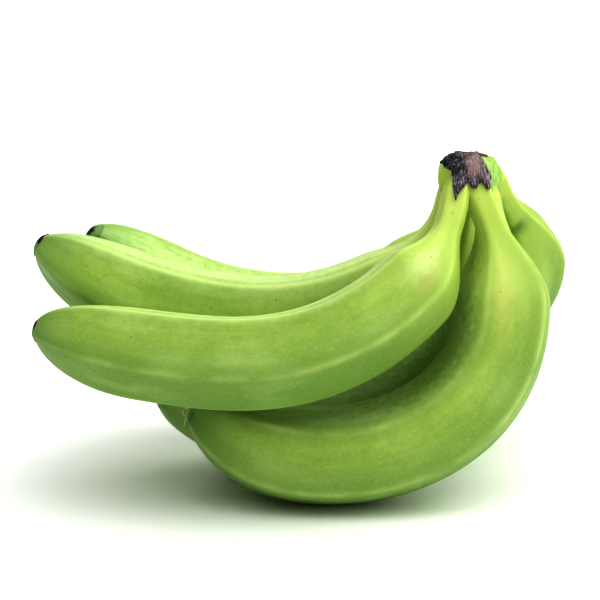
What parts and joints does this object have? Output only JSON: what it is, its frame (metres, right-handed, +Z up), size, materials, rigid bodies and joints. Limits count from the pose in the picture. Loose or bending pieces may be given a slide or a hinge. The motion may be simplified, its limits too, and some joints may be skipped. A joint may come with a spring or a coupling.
{
  "type": "hand of green plantains",
  "caption": "A hand of unripe green plantains on one cut crown: two rows of curved, ridged fingers with dried black tips, lying on the bellies of the lower row",
  "frame": {"origin": "the middle of the hand's box, on the surface it lies on", "axes": "+Z up; -X towards the finger tips, along the longest extent; +Y back along the two rows of fingers"},
  "size_m": [0.261, 0.1872, 0.1567],
  "materials": {
    "skin": "satin waxy green fruit skin with pale ridge lines",
    "crown": "rough green plant tissue with yellow specks",
    "dried_black": "dried black-brown plant tissue",
    "dried_flap": "dried fibrous purple-brown skin",
    "dried_scab": "dried brown cut surface",
    "dried_thread": "dry pale flower thread"
  },
  "bodies": {
    "root": {"crown": "crown", "crown_flap": "dried_flap", "crown_scab": "dried_scab", "crown_lump": "dried_black", "finger_upper_front": "skin", "tip_upper_front": "dried_black", "finger_upper_middle": "skin", "tip_upper_middle": "dried_black", "finger_upper_back": "skin", "tip_upper_back": "dried_black", "finger_lower_front": "skin", "tip_lower_front": "dried_black", "flower_thread": "dried_thread", "finger_lower_middle": "skin", "tip_lower_middle": "dried_black", "finger_lower_back": "skin", "tip_lower_back": "dried_black"}
  },
  "joints": []
}
